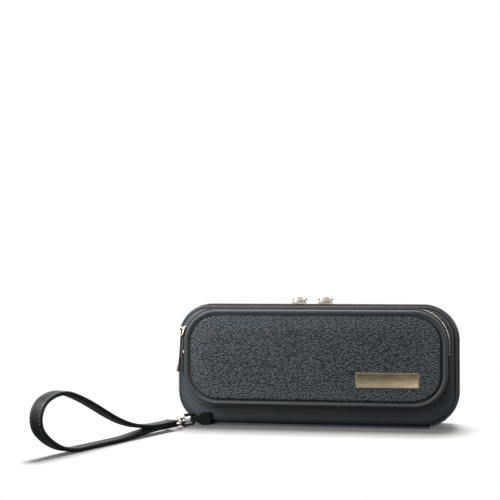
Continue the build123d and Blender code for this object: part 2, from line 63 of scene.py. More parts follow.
bpy.ops.object.select_all(action="DESELECT")
bpy.ops.object.camera_add()
camera = bpy.context.object
camera.name = "camera"
view_matrix = (Matrix.Rotation(view_turn, 4, "Z") @ Matrix.Rotation(pi / 2 - view_pitch, 4, "X")
               @ Matrix.Rotation(view_roll, 4, "Z"))
view_line = view_matrix @ Vector((0, 0, -1))
camera.matrix_world = Matrix.Translation(view_aim - view_distance * view_line) @ view_matrix
camera.data.sensor_width = sensor_width
camera.data.lens = view_focal_px * sensor_width / picture_px
camera.data.clip_start = view_start
bpy.context.scene.camera = camera
bpy.context.scene.view_settings.view_transform = "Standard"

# Studio: a large soft lamp high up and a little behind, which whitens the floor and throws the
# short shadow in front. Three small ones light the case alone: the key above its left end, a low
# one under that, and one that skims its right side. The white room fills in the rest.
lamp_kit = {
    "top_lamp": (Vector((-0.06, 0.5, 2.0)), 0.9, 47),
    "key_lamp": (Vector((-0.3, -0.26, 0.34)), 0.3, 3.1),
    "low_lamp": (Vector((-0.3, -0.5, 0.07)), 0.3, 1.2),
    "side_lamp": (Vector((0.6, -0.12, 0.3)), 0.25, 1.4),
}
lamp_aim = Vector((0, 0, 0.05))
room_light = 0.16


def hex_colour(text):
    """Linear colour of an sRGB hex value."""
    channels = [int(text[i:i + 2], 16) / 255 for i in (1, 3, 5)]
    linear = [c / 12.92 if c <= 0.04045 else ((c + 0.055) / 1.055) ** 2.4 for c in channels]
    return (*linear, 1)


def node(tree, kind, settings=None, inputs=None, **named):
    """Adds one node with its settings. Each input, by number or name, takes a plain value, another
    node's socket, or another node, which gives its first output."""
    made = tree.nodes.new(kind)
    for name, value in (settings or {}).items():
        setattr(made, name, value)
    named = {name.replace("_", " "): value for name, value in named.items()}
    for socket, value in {**(inputs or {}), **named}.items():
        if isinstance(value, bpy.types.Node):
            value = value.outputs[0]
        if isinstance(value, bpy.types.NodeSocket):
            tree.links.new(value, made.inputs[socket])
        else:
            made.inputs[socket].default_value = value
    return made


lamps = {}
for name, (place, size, power) in lamp_kit.items():
    bpy.ops.object.light_add(type="AREA", location=place)
    lamp = lamps[name] = bpy.context.object
    lamp.name = name
    lamp.data.size = size
    lamp.data.energy = power
    lamp.rotation_euler = (place - lamp_aim).to_track_quat("Z", "Y").to_euler()

room = bpy.data.worlds.new("white_room")
room.use_nodes = True
bpy.context.scene.world = room
tree = room.node_tree
tree.nodes.clear()
path = node(tree, "ShaderNodeLightPath")
seen = path.outputs["Is Camera Ray"]
for ray in ("Is Glossy Ray", "Is Transmission Ray"):
    seen = node(tree, "ShaderNodeMath", {"operation": "MAXIMUM"}, {0: seen, 1: path.outputs[ray]})
strength = node(tree, "ShaderNodeMapRange", Value=seen, To_Min=room_light, To_Max=1.0)
shine = node(tree, "ShaderNodeBackground", Color=hex_colour("#FFFFFF"), Strength=strength)
node(tree, "ShaderNodeOutputWorld", Surface=shine)

# Floor: one sheet of white studio paper that keeps the soft shadows of the case and the strap.
# Beyond them the camera sees it as white as the room, so that no horizon shows.
floor_side = 6
floor_lift = 0.09
shadow_middle = (-60 * MM, -80 * MM, 0)
shadow_reach = 180
white_reach = 240
bpy.ops.mesh.primitive_plane_add(size=floor_side)
floor = bpy.context.object
floor.name = "floor"


def new_material(name):
    """An empty material, its tree, and the piece's own coordinates in metres."""
    made = bpy.data.materials.new(name)
    made.use_nodes = True
    made.node_tree.nodes.clear()
    place = node(made.node_tree, "ShaderNodeTexCoord").outputs["Object"]
    return made, made.node_tree, place


# Studio paper: plain white to the camera, and dull to other rays, so that it throws little light
# back on the case.
paper, tree, place = new_material("white_studio_paper")
camera_ray = node(tree, "ShaderNodeLightPath").outputs["Is Camera Ray"]
reach = node(tree, "ShaderNodeVectorMath", {"operation": "DISTANCE"}, {0: place, 1: shadow_middle})
far = node(tree, "ShaderNodeMapRange", {"interpolation_type": "SMOOTHSTEP"},
           Value=reach.outputs["Value"], From_Min=shadow_reach * MM, From_Max=white_reach * MM)
white = node(tree, "ShaderNodeMath", {"operation": "MULTIPLY"}, {0: camera_ray, 1: far})
glow = node(tree, "ShaderNodeMath", {"operation": "MULTIPLY"}, {0: camera_ray, 1: floor_lift})
dull = node(tree, "ShaderNodeBsdfDiffuse", Color=hex_colour("#6C6C6B"))
bright = node(tree, "ShaderNodeBsdfDiffuse", Color=hex_colour("#F7F7F6"))
matt = node(tree, "ShaderNodeMixShader", None, {0: camera_ray, 1: dull, 2: bright})
lift = node(tree, "ShaderNodeEmission", Strength=glow)
near = node(tree, "ShaderNodeAddShader", None, {0: matt, 1: lift})
backdrop = node(tree, "ShaderNodeEmission")
both = node(tree, "ShaderNodeMixShader", None, {0: white, 1: near, 2: backdrop})
node(tree, "ShaderNodeOutputMaterial", Surface=both)
floor.data.materials.append(paper)
floor_only = bpy.data.collections.new("floor_only")
floor_only.objects.link(floor)
floor_only.collection_objects[0].light_linking.link_state = "EXCLUDE"
for name in ("key_lamp", "low_lamp", "side_lamp"):
    lamps[name].light_linking.receiver_collection = floor_only

# Leather covers of the two halves: black smooth cowhide glued over a board core. Each is one skin
# with a soft front edge, open at the rim where the zip is sewn in.
case_length = 235
case_height = 100
case_corner = 26.5
case_middle = 51.6
rim_y = 5.0
back_depth = 24
lid_depth = 18
cover_wall = 1.4
cover_edge = 6.0
corner_steps = 16
edge_steps = 5
join_gap = 0.001 * MM
near_enough = 0.01
halves = {"back": (1, back_depth, "case_back"), "lid": (-1, lid_depth, "lid")}


def take(piece):
    """Makes one piece the only one selected, and the active one."""
    bpy.ops.object.select_all(action="DESELECT")
    piece.select_set(True)
    bpy.context.view_layer.objects.active = piece


def edit(piece):
    """Opens one piece in edit mode with nothing on it selected."""
    take(piece)
    bpy.ops.object.mode_set(mode="EDIT")
    bpy.ops.mesh.select_all(action="DESELECT")


def pick(kind, test):
    """Selects the faces, edges or corners of the open piece whose middle, in mm, passes a test."""
    bpy.ops.mesh.select_mode(type={"faces": "FACE", "edges": "EDGE", "verts": "VERT"}[kind])
    bpy.ops.mesh.select_all(action="DESELECT")
    shape = bmesh.from_edit_mesh(bpy.context.object.data)
    for item in getattr(shape, kind):
        corners = [item.co] if kind == "verts" else [v.co for v in item.verts]
        if test(*(sum(corners, Vector()) / len(corners) / MM)):
            item.select_set(True)
    shape.select_flush_mode()
    bmesh.update_edit_mesh(bpy.context.object.data)


def pick_all():
    """Selects everything on the open piece."""
    bpy.ops.mesh.select_all(action="SELECT")


def begin(name, add, place, scale=(1, 1, 1), turn=(0, 0, 0), **settings):
    """Adds a primitive at a place in mm, puts its scale and turn in its mesh, and leaves it open
    with everything on it selected."""
    bpy.ops.object.select_all(action="DESELECT")
    add(location=[c * MM for c in place], rotation=turn, **settings)
    piece = bpy.context.object
    piece.name = piece.data.name = name
    piece.scale = scale
    bpy.ops.object.transform_apply(location=True, rotation=True, scale=True)
    edit(piece)
    pick_all()
    return piece


def upright(name, length, height, corner, y, middle=case_middle, x=0, steps=corner_steps):
    """Adds a round-cornered sheet, in mm, that stands across the case, and leaves it open."""
    piece = begin(name, bpy.ops.mesh.primitive_plane_add, (x, y, middle), (length, height, 1),
                  (pi / 2, 0, 0), size=MM)
    bpy.ops.mesh.bevel(offset=corner * MM, segments=steps, affect="VERTICES")
    pick_all()
    return piece


def extrude(x=0, y=0, z=0, edges=False):
    """Extrudes what is selected, or its edges alone, by a distance in mm."""
    step = {"value": (x * MM, y * MM, z * MM)}
    if edges:
        bpy.ops.mesh.extrude_edges_move(TRANSFORM_OT_translate=step)
    else:
        bpy.ops.mesh.extrude_region_move(TRANSFORM_OT_translate=step)


def finish_mesh():
    """Closes edit mode with doubles merged and normals turned outwards."""
    pick_all()
    bpy.ops.mesh.remove_doubles(threshold=join_gap)
    bpy.ops.mesh.normals_make_consistent(inside=False)
    bpy.ops.object.mode_set(mode="OBJECT")


def modify(piece, kind, **settings):
    """Adds one modifier with its settings and applies it."""
    bpy.context.view_layer.objects.active = piece
    modifier = piece.modifiers.new(kind.lower(), kind)
    for setting, value in settings.items():
        setattr(modifier, setting, value)
    bpy.ops.object.modifier_apply(modifier=modifier.name)


def thicken(piece, wall, offset=-1):
    """Gives an open skin a wall, in mm, behind its outer face."""
    modify(piece, "SOLIDIFY", thickness=wall * MM, offset=offset, use_even_offset=True)


def fit(piece, material, slot, body, *nodes, angle=35):
    """Finishes a piece: smooth shading, material, the body it rides and what it replaces. The slot
    is not used.
    """
    take(piece)
    bpy.ops.object.shade_smooth_by_angle(angle=radians(angle))
    piece.data.materials.clear()
    piece.data.materials.append(material)
    if body:
        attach(piece, body)
    if nodes:
        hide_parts(*nodes)


def half_skin(name, side, depth, inset, wall, edge):
    """One half's skin: a round-cornered tray from its floor to the rim, with an even wall."""
    floor_y = side * (depth - inset)
    piece = upright(
        name, case_length - 2 * inset, case_height - 2 * inset, case_corner - inset, floor_y
    )
    extrude(y=side * rim_y - floor_y)
    pick("edges", lambda x, y, z: abs(y - floor_y) < near_enough)
    bpy.ops.mesh.bevel(offset=edge * MM, segments=edge_steps, affect="EDGES")
    pick("faces", lambda x, y, z: abs(y - side * rim_y) < near_enough)
    bpy.ops.mesh.delete(type="FACE")
    finish_mesh()
    thicken(piece, wall)
    return piece


def shades(tree, factor, *stops):
    """Colours along a factor, each given as (position, sRGB hex)."""
    ramp = node(tree, "ShaderNodeValToRGB", Fac=factor)
    while len(ramp.color_ramp.elements) < len(stops):
        ramp.color_ramp.elements.new(0.5)
    for element, (position, colour) in zip(ramp.color_ramp.elements, stops):
        element.position = position
        element.color = hex_colour(colour)
    return ramp


def surface(made, colour, relief=None, relief_mm=0, **values):
    """Ends a material with its colour, the bump of its relief and the values of its surface."""
    tree = made.node_tree
    if relief is not None:
        values["Normal"] = node(tree, "ShaderNodeBump", Height=relief, Distance=relief_mm * MM,
                                Strength=1.0)
    skin = node(tree, "ShaderNodeBsdfPrincipled", None, {"Base Color": colour}, **values)
    node(tree, "ShaderNodeOutputMaterial", Surface=skin)
    return made


def leather(name, pore_mm, relief_mm, shaded_crease_colour, lit_dome_colour, roughness, warp=0.5):
    """Dyed and finished cowhide: rounded grain cells in rows that slant up to the right, and slow
    changes of tone where the hide stretched. The cells set the colour as well as the bump: painted
    shade darkens the creases between them and a painted highlight lightens each cell's top. Cells
    and relief come from the grain's real size."""
    made, tree, place = new_material(name)
    pore = pore_mm * MM
    slant = node(tree, "ShaderNodeMapping", Vector=place, Rotation=(0, radians(-40), 0),
                 Scale=(1, 1, 1.5))
    drift = node(tree, "ShaderNodeTexNoise", Vector=place, Scale=0.4 / pore)
    shift = node(tree, "ShaderNodeVectorMath", {"operation": "MULTIPLY_ADD"},
                 {0: drift.outputs["Color"], 1: (warp * pore,) * 3, 2: slant})
    cells = node(tree, "ShaderNodeTexVoronoi", {"feature": "F1"}, Vector=shift, Scale=1 / pore,
                 Randomness=0.5)
    domes = node(tree, "ShaderNodeMapRange", {"interpolation_type": "SMOOTHSTEP"}, Value=cells,
                 From_Min=0.75, From_Max=0.15)
    tone = node(tree, "ShaderNodeTexNoise", Vector=place, Scale=1 / (28 * MM))
    mix = node(tree, "ShaderNodeMath", {"operation": "MULTIPLY_ADD"}, {0: tone, 1: 0.15, 2: domes})
    # The colour follows the domes: painted shade in the creases, a painted highlight on the cell
    # tops.
    colour = shades(tree, mix, (0.05, shaded_crease_colour), (1.05, lit_dome_colour))
    return surface(made, colour, domes, relief_mm, Roughness=roughness, IOR=1.5,
                   Specular_IOR_Level=0.16)


# Smooth leather: fine pores about 0.9 mm wide that hardly stand up, so it reads as satin.
smooth_leather = leather("smooth_cowhide", pore_mm=0.9, relief_mm=0.06, shaded_crease_colour="#393C3F",
                         lit_dome_colour="#4C5256", roughness=0.36)
for name, (side, depth, body) in halves.items():
    cover = half_skin(f"{name}_cover_leather", side, depth, 0, cover_wall, cover_edge)
    fit(cover, smooth_leather, "case_leather", body, f"{name}_cover")

# Board cores, plush linings and rim bindings: a stiff foam board inside each cover, a short-pile
# lining glued in it, and a woven cloth binding that closes the layers round the rim.
board_wall = 3.6
lining_wall = 1.2
lining_edge = 1.5
binding_wall = 0.8
binding_edge = 0.3
layers = cover_wall + board_wall + lining_wall


def round_edges(piece, width, segments=2, angle=30, **settings):
    """Rounds every edge of a piece that is sharper than an angle, by a width in mm."""
    modify(piece, "BEVEL", width=width * MM, segments=segments, limit_method="ANGLE",
           angle_limit=radians(angle), **settings)


# Foam board: closed cells about 0.7 mm wide, dark and dull.
made, tree, place = new_material("closed_cell_foam_board")
bubbles = node(tree, "ShaderNodeTexVoronoi", Vector=place, Scale=1 / (0.7 * MM))
foam_board = surface(made, shades(tree, bubbles, (0, "#2B2B2B"), (1, "#1C1C1C")),
                     relief=bubbles, relief_mm=0.05, Roughness=0.85, IOR=1.5)

# Plush: short cut pile, soft tufts about 1.2 mm wide, dark with a faint sheen at grazing angles.
made, tree, place = new_material("short_pile_plush")
tufts = node(tree, "ShaderNodeTexNoise", Vector=place, Scale=1 / (1.2 * MM), Detail=4.0)
brushed = node(tree, "ShaderNodeTexNoise", Vector=place, Scale=1 / (22 * MM), Detail=2.0)
nap = node(tree, "ShaderNodeMath", {"operation": "MULTIPLY_ADD"}, {0: brushed, 1: 0.8, 2: tufts})
short_plush = surface(made, shades(tree, nap, (0.5, "#17181A"), (1.2, "#2C2D31")),
                      relief=tufts, relief_mm=0.35, Roughness=0.9, IOR=1.5,
                      Sheen_Weight=0.35, Sheen_Roughness=0.5)

# Binding: plain-woven cloth, drawn at 0.8 mm a thread so that the weave still shows.
made, tree, place = new_material("plain_woven_binding")
threads = node(tree, "ShaderNodeVectorMath", {"operation": "SCALE"}, {0: place},
               Scale=pi / (0.8 * MM))
axes = node(tree, "ShaderNodeSeparateXYZ", None, {0: threads})
waves = [node(tree, "ShaderNodeMath", {"operation": "SINE"}, {0: axes.outputs[a]}) for a in "XYZ"]
over_under = node(tree, "ShaderNodeMath", {"operation": "MULTIPLY"}, {0: waves[0], 1: waves[2]})
weave = node(tree, "ShaderNodeMath", {"operation": "MULTIPLY_ADD"},
             {0: over_under, 1: waves[1], 2: 0.5})
woven_binding = surface(made, shades(tree, weave, (0, "#1A1A1C"), (1, "#29292C")),
                        relief=weave, relief_mm=0.08, Roughness=0.8, IOR=1.5,
                        Sheen_Weight=0.2, Sheen_Roughness=0.5)

for name, (side, depth, body) in halves.items():
    board = half_skin(f"{name}_foam_board", side, depth, cover_wall, board_wall,
                      cover_edge - cover_wall)
    fit(board, foam_board, "foam_board", body, f"{name}_board")
    inset = cover_wall + board_wall
    lining = half_skin(f"{name}_plush_lining", side, depth, inset, lining_wall, lining_edge)
    fit(lining, short_plush, "plush_lining", body, f"{name}_lining")
    start = side * (rim_y - binding_wall)
    binding = upright(f"{name}_binding", case_length, case_height, case_corner, start)
    bpy.ops.mesh.inset(thickness=layers * MM)
    bpy.ops.mesh.delete(type="FACE")
    pick_all()
    extrude(y=side * binding_wall)
    finish_mesh()
    round_edges(binding, binding_edge)
    fit(binding, woven_binding, "binding_tape", body, f"{name}_rim_binding")

# Instrument bed: a foam block covered in plush, with a channel for the body joint, one for the
# head joint and a well. The plush rounds every edge, so the block is softened all over.
bed_grain = 1.3
bed_passes = 6


def merged_copy(node_name, name):
    """A copy of a CAD node's mesh with its own data and its corners joined."""
    bpy.ops.object.select_all(action="DESELECT")
    source = frame["nodes"][node_name]
    piece = source.copy()
    piece.data = source.data.copy()
    piece.name = piece.data.name = name
    piece.parent = None
    piece.matrix_world = Matrix.Identity(4)
    piece.hide_render = piece.hide_viewport = False
    for key in [key for key in piece.keys() if key.startswith("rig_")]:
        del piece[key]
    bpy.context.collection.objects.link(piece)
    edit(piece)
    pick_all()
    bpy.ops.mesh.remove_doubles(threshold=join_gap)
    bpy.ops.object.mode_set(mode="OBJECT")
    return piece


def soften(piece, passes):
    """Evens out the corners of a soft piece's mesh."""
    modify(piece, "SMOOTH", factor=0.5, iterations=passes)


def remesh(piece, grain, passes):
    """Gives a soft piece an even fine mesh, with its edges worn round."""
    piece.data.remesh_voxel_size = grain * MM
    bpy.ops.object.voxel_remesh()
    soften(piece, passes)
    return piece


def upholstered(node_name, name, grain, passes):
    """A copy of a CAD node as a soft block."""
    return remesh(merged_copy(node_name, name), grain, passes)


bed = upholstered("instrument_bed", "plush_instrument_bed", bed_grain, bed_passes)
fit(bed, short_plush, "plush_lining", "case_back", "instrument_bed", angle=180)

# Pad inside the lid: a thin cushion of plush over soft foam that presses on the instrument. It is
# blown up a little by a cloth simulation, held at its back where it is glued to the lining.
pad_grain = 2.2
pad_passes = 3
pad_swell = 1.2
pad_pressure = 6
pad_back_y = -11.8
held_depth = 1.0
swell_frames = 14
swell_passes = 4


def plump(piece, pressure, limit, held):
    """Swells a padded piece with a cloth simulation, holding some of its corners still and
    letting no corner move further than a limit in mm."""
    group = piece.vertex_groups.new(name="held")
    group.add([v.index for v in piece.data.vertices if held(*(v.co / MM))], 1.0, "REPLACE")
    start = [v.co.copy() for v in piece.data.vertices]
    cloth = piece.modifiers.new("cloth", "CLOTH")
    cloth.settings.vertex_group_mass = "held"
    cloth.settings.mass = 0.02
    cloth.settings.use_pressure = True
    cloth.settings.uniform_pressure_force = pressure
    cloth.settings.effector_weights.gravity = 0
    cloth.settings.tension_stiffness = 8
    cloth.settings.bending_stiffness = 2
    cloth.point_cache.frame_end = swell_frames
    for moment in range(1, swell_frames + 1):
        bpy.context.scene.frame_set(moment)
    bpy.context.view_layer.objects.active = piece
    bpy.ops.object.modifier_apply(modifier=cloth.name)
    for corner, rest in zip(piece.data.vertices, start):
        move = corner.co - rest
        if move.length > limit * MM:
            corner.co = rest + move.normalized() * limit * MM
    bpy.context.scene.frame_set(1)
    piece.vertex_groups.clear()


pad = upholstered("lid_pad", "plush_lid_pad", pad_grain, pad_passes)
plump(pad, pad_pressure, pad_swell, lambda x, y, z: y < pad_back_y + held_depth)
soften(pad, swell_passes)
modify(pad, "SUBSURF", levels=1, render_levels=1)
fit(pad, short_plush, "plush_lining", "lid", "lid_pad", angle=180)

# Spine: one strip of the same smooth leather glued under both halves. It bends along the line
# between them and is the hinge of the case.
spine_half = 96
spine_back = 22.2
spine_front = -16.2
spine_wall = 1.6
spine_edge = 0.4
fold_y = -0.6
fold_spread = 4.5
fold_cuts = 12
fold_pitch = fold_spread / 10


def cut_at(axis, place, **settings):
    """Cuts all of the open piece through, square to one axis (0, 1, 2), at a place in mm."""
    point, square = Vector(), Vector()
    point[axis] = place * MM
    square[axis] = 1
    pick_all()
    bpy.ops.mesh.bisect(plane_co=point, plane_no=square, **settings)


spine = begin("spine_strip", bpy.ops.mesh.primitive_plane_add,
              (0, (spine_back + spine_front) / 2, 0),
              (2 * spine_half, spine_back - spine_front, 1), size=MM)
for step in range(-fold_cuts, fold_cuts + 1):
    cut_at(1, fold_y + step * fold_pitch)
pick_all()
bpy.ops.mesh.flip_normals()
bpy.ops.object.mode_set(mode="OBJECT")
thicken(spine, spine_wall)
round_edges(spine, spine_edge)
fit(spine, smooth_leather, "case_leather", None, "spine_back_leaf", "spine_lid_leaf")
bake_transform(spine)

# Piping: a thin leather cord sewn round the outer edge of each half, open along the spine. Its
# round back catches the light as one pale line.
piping_radius = 0.9
piping_proud = 0.4
piping_foot = 1.8
piping_inset = 2.6
fine_steps = 24


def outline_only(lowest=None):
    """Leaves the outline of the open sheet alone, cut off to an arch at a height where asked."""
    bpy.ops.mesh.delete(type="ONLY_FACE")
    bpy.ops.mesh.select_mode(type="VERT")
    if lowest is not None:
        cut_at(2, lowest, clear_inner=True)


def tube(name, radius, roundness=4):
    """Turns the edges of the open piece into a round cord or wire with closed ends."""
    bpy.ops.object.mode_set(mode="OBJECT")
    bpy.ops.object.convert(target="CURVE")
    line = bpy.context.object.data
    line.bevel_depth = radius * MM
    line.bevel_resolution = roundness
    line.use_fill_caps = True
    bpy.ops.object.convert(target="MESH")
    piece = bpy.context.object
    piece.name = piece.data.name = name
    edit(piece)
    finish_mesh()
    return piece


for name, (side, depth, body) in halves.items():
    grow = 2 * (piping_proud - piping_radius)
    piping_name = f"{name}_piping_cord"
    upright(piping_name, case_length + grow, case_height + grow, case_corner + grow / 2,
            side * (depth - piping_inset), steps=fine_steps)
    outline_only(piping_foot + piping_radius)
    piping = tube(piping_name, piping_radius)
    fit(piping, smooth_leather, "case_leather", body, f"{name}_piping", angle=60)

# Main zip tapes: herringbone tape sewn to both rims, flaring out at both ends of the case so that
# the chain stands proud of the leather there.
tape_wall = 0.8
tape_inner = 2.1
tape_outer = 8.0
tape_foot = 1.8
tape_flare = 2.0
rim_outline = (case_length + 2 * tape_wall, case_height + 2 * tape_wall,
               case_corner + tape_wall, case_middle)
main_outline = (rim_outline[0] + 2 * tape_flare, rim_outline[1], rim_outline[2] + tape_flare,
                rim_outline[3])


def distance_round(x, z, length, height, corner, middle):
    """Distance round an outline from the middle of its top, positive to the right, in mm."""
    flat, rise = length / 2 - corner, height / 2 - corner
    across, up = abs(x) - flat, z - middle
    if across <= 0 and up > 0:
        run = abs(x)
    elif up >= rise:
        run = flat + corner * atan2(across, up - rise)
    elif up >= -rise:
        run = flat + corner * pi / 2 + rise - up
    elif across > 0:
        run = flat + corner * pi / 2 + 2 * rise + corner * atan2(-rise - up, across)
    else:
        run = flat + corner * pi + 2 * rise - across
    return copysign(run, x)


def place_round(run, y, length, height, corner, middle, lift=0):
    """Matrix of a spot at a distance round an outline: X along it, Z outwards, Y as the case's."""
    flat, rise = length / 2 - corner, height / 2 - corner
    side, run = copysign(1, run), abs(run)
    bend = corner * pi / 2
    if run < flat:
        x, z, turn = run, height / 2, 0
    elif run < flat + bend:
        turn = (run - flat) / corner
        x, z = flat + corner * sin(turn), rise + corner * cos(turn)
    elif run < flat + bend + 2 * rise:
        x, z, turn = length / 2, rise - (run - flat - bend), pi / 2
    else:
        turn = min(pi, pi / 2 + (run - flat - bend - 2 * rise) / corner)
        x, z = flat + corner * sin(turn), -rise + corner * cos(turn)
    x, z = x + lift * sin(turn), z + lift * cos(turn)
    spot = Vector((side * x * MM, y * MM, (middle + z) * MM))
    return Matrix.Translation(spot) @ Matrix.Rotation(side * turn, 4, "Y")


def unrolled(piece, outline):
    """Writes a UV map, in metres, that runs along the outline and across it."""
    sheet = piece.data.uv_layers.new(name="along_the_tape")
    for loop in piece.data.loops:
        x, y, z = piece.data.vertices[loop.vertex_index].co / MM
        sheet.data[loop.index].uv = (distance_round(x, z, *outline) * MM, y * MM)
    return piece


def wall_inwards(piece, wall):
    """Faces an open ring away from the middle of the case and gives it its wall, in mm, inside."""
    if sum(face.normal.x * face.center.x for face in piece.data.polygons) < 0:
        piece.data.flip_normals()
    thicken(piece, wall)


def band(name, outline, y_start, y_end, wall, lowest, flare=0):
    """A strip that follows an outline from one depth to another, cut off low on both sides. It may
    widen at both ends of the case."""
    length, height, corner, middle = outline
    piece = upright(name, length, height, corner, y_start, middle, steps=fine_steps)
    outline_only()
    pick_all()
    extrude(y=y_end - y_start, edges=True)
    bpy.ops.transform.resize(
        value=((length + 2 * flare) / length, 1, 1), center_override=(0, y_end * MM, 0)
    )
    cut_at(2, lowest, clear_inner=True)
    finish_mesh()
    wall_inwards(piece, wall)
    return unrolled(piece, outline)


# Woven tape: polyester threads in a herringbone. Real ribs are 0.5 mm apart; they are drawn at
# 1.1 mm so that the slant still shows, dull with a little fuzz.
made, tree, place = new_material("herringbone_polyester_tape")
half_rib = 0.55 * MM
sheet = node(tree, "ShaderNodeUVMap", {"uv_map": "along_the_tape"})
axes = node(tree, "ShaderNodeSeparateXYZ", None, {0: sheet})
slant = node(tree, "ShaderNodeMath", {"operation": "PINGPONG"},
             {0: axes.outputs["Y"], 1: 1.5 * MM})
run = node(tree, "ShaderNodeMath", {"operation": "ADD"}, {0: axes.outputs["X"], 1: slant})
ribs = node(tree, "ShaderNodeMath", {"operation": "PINGPONG"}, {0: run, 1: half_rib})
rib = node(tree, "ShaderNodeMapRange", Value=ribs, From_Max=half_rib)
fuzz = node(tree, "ShaderNodeTexNoise", Vector=place, Scale=1 / (0.6 * MM), Detail=3.0)
tone = node(tree, "ShaderNodeMath", {"operation": "MULTIPLY_ADD"}, {0: fuzz, 1: 0.6, 2: rib})
herringbone_tape = surface(
    made, shades(tree, tone, (0.2, "#141311"), (1.3, "#2C2A27")), relief=rib, relief_mm=0.15,
    Roughness=0.8, IOR=1.5, Specular_IOR_Level=0.3, Sheen_Weight=0.08, Sheen_Roughness=0.4
)

for name, (side, depth, body) in halves.items():
    tape = band(f"{name}_zip_tape", rim_outline, side * tape_outer, side * tape_inner,
                tape_wall, tape_foot, tape_flare)
    fit(tape, herringbone_tape, "zip_tape", body, f"main_zip_tape_{name}")

# Main zip teeth: a black chain round the case, each tooth moulded on the corded edge of its tape.
# The two rows lap and lock between each other at the parting plane.
tooth_share = 0.46
tooth_high = 1.8
tooth_foot_reach = 1.5
tooth_grip = 0.4
tooth_lap = 0.7
tooth_edge = 0.15
tooth_head = (0.62, 1, 0.6)
tooth_phase = {1: 0.25, -1: 0.75}
cord_radius = 0.55
cord_y = 1.5
main_pitch = 1.5
main_end = 6.0
stop_size = (2.8, 2.4, 2.4)
stop_edge = 0.35
stop_y = 1.4


def small_block(length, depth, height, edge, x=0, y=0, z=0, name="small_block"):
    """A block, in mm, with its edges bevelled."""
    piece = begin(name, bpy.ops.mesh.primitive_cube_add, (x, y, z), (length, depth, height),
                  size=MM)
    bpy.ops.mesh.bevel(offset=edge * MM, segments=1, affect="EDGES")
    bpy.ops.object.mode_set(mode="OBJECT")
    return piece


def merge(name, *parts):
    """Joins finished parts into one piece."""
    bpy.ops.object.select_all(action="DESELECT")
    for part in parts:
        part.select_set(True)
    bpy.context.view_layer.objects.active = parts[0]
    bpy.ops.object.join()
    parts[0].name = parts[0].data.name = name
    return parts[0]


def scatter(piece, name, places):
    """Copies one small piece, each copy with its own mesh, to many places and joins them."""
    copies = []
    for spot in places:
        copy = piece.copy()
        copy.data = piece.data.copy()
        copy.data.transform(spot)
        bpy.context.collection.objects.link(copy)
        copies.append(copy)
    bpy.data.objects.remove(piece)
    return merge(name, *copies)


def chain_row(name, outline, side, meeting, pitch, lowest, height=lambda run: 0):
    """One row of teeth at their real pitch. Each has a broad foot, clamped on the tape's cord, and
    a narrower, lower head that reaches between the teeth of the other row."""
    foot_y = side * (cord_y + tooth_foot_reach / 2 - tooth_grip)
    tooth = small_block(tooth_share * pitch, tooth_foot_reach, tooth_high, tooth_edge, y=foot_y)
    head_y = foot_y - side * tooth_foot_reach / 2
    edit(tooth)
    pick("faces", lambda x, y, z: abs(y - head_y) < near_enough)
    extrude()
    bpy.ops.transform.resize(value=tooth_head, center_override=(0, head_y * MM, 0))
    extrude(y=side * -tooth_lap - head_y)
    finish_mesh()
    count = int((outline[0] + outline[1]) / pitch)
    spots = []
    for index in range(-count, count):
        run = (index + tooth_phase[side]) * pitch
        spot = place_round(run, meeting, *outline, lift=height(run))
        if spot.translation.z > (lowest + tooth_share) * MM:
            spots.append(spot)
    return scatter(tooth, name, spots)


def foot_run(outline, lowest):
    """The distance round an outline at which it comes down to a height, to a quarter of a mm."""
    runs = [index / 4 for index in range(int(4 * (outline[0] + outline[1])))]
    return max(run for run in runs if place_round(run, 0, *outline).translation.z > lowest * MM)


def tape_cord(name, outline, y, radius, lowest):
    """The corded edge of a zip tape, which the teeth grip."""
    length, height, corner, middle = outline
    upright(name, length, height, corner, y, middle, steps=fine_steps)
    outline_only(lowest)
    return unrolled(tube(name, radius), outline)


# Black oxide on zinc: a dark, half-dull metal; small lighter brown-grey patches painted into its
# colour stand in for the glints on its edges.
made, tree, place = new_material("black_oxide_zinc")
spots = node(tree, "ShaderNodeTexNoise", Vector=place, Scale=1 / (1.5 * MM), Detail=3.0)
black_oxide = surface(made, shades(tree, spots, (0.3, "#110F0C"), (0.7, "#39342C")),
                      Metallic=0.4, Roughness=0.45)

for name, (side, depth, body) in halves.items():
    row = chain_row(f"{name}_zip_teeth", main_outline, side, 0, main_pitch, main_end)
    fit(row, black_oxide, "zip_tape", body, f"main_zip_teeth_{name}")
    cord = tape_cord(f"{name}_zip_cord", main_outline, side * cord_y, cord_radius, main_end)
    fit(cord, herringbone_tape, "zip_tape", body, angle=60)
    stop = small_block(*stop_size, stop_edge, y=side * stop_y)
    last = foot_run(main_outline, main_end)
    ends = [place_round(end * last, 0, *main_outline) for end in (-1, 1)]
    stops = scatter(stop, f"{name}_zip_stops", ends)
    fit(stops, black_oxide, "nickel", body, f"main_zip_stops_{name}")

# Pocket flange and gusset: the flange is a flat leather ring sewn to the lid round the pocket, and
# the gusset is the pocket's side wall, open over the top where its zip is sewn in.
pocket_length = 221
pocket_height = 81
pocket_corner = 28
pocket_middle = 59.1
pocket_back = -18.0
pocket_face = -29.0
flange_length = 227
flange_height = 85.3
flange_corner = 28.3
flange_middle = 57.25
flange_wall = 1.2
flange_root = 0.9
flange_band = 4.5
flange_edge = 0.5
gusset_wall = 1.6
gusset_edge = 0.3
slot_back = -20.0
slot_front = -27.0
slot_foot = 61.9
flange_outline = (flange_length, flange_height, flange_corner, flange_middle)
pocket_outline = (pocket_length, pocket_height, pocket_corner, pocket_middle)
stitch_length = 2.0
stitch_pitch = 2.9
stitch_thick = 0.45
stitch_edge = 0.18
flange_seam_inset = 1.3
flange_seam_foot = 15

# Waxed thread: twisted polyester, a shade lighter than the leather, with a dull shine.
made, tree, place = new_material("waxed_polyester_thread")
twist = node(tree, "ShaderNodeTexWave", Vector=place, Scale=1 / (1.6 * MM)).outputs["Fac"]
waxed_thread = surface(made, shades(tree, twist, (0, "#4A4D4E"), (1, "#76797A")), Roughness=0.5,
                       IOR=1.5, Sheen_Weight=0.2, Sheen_Roughness=0.4)


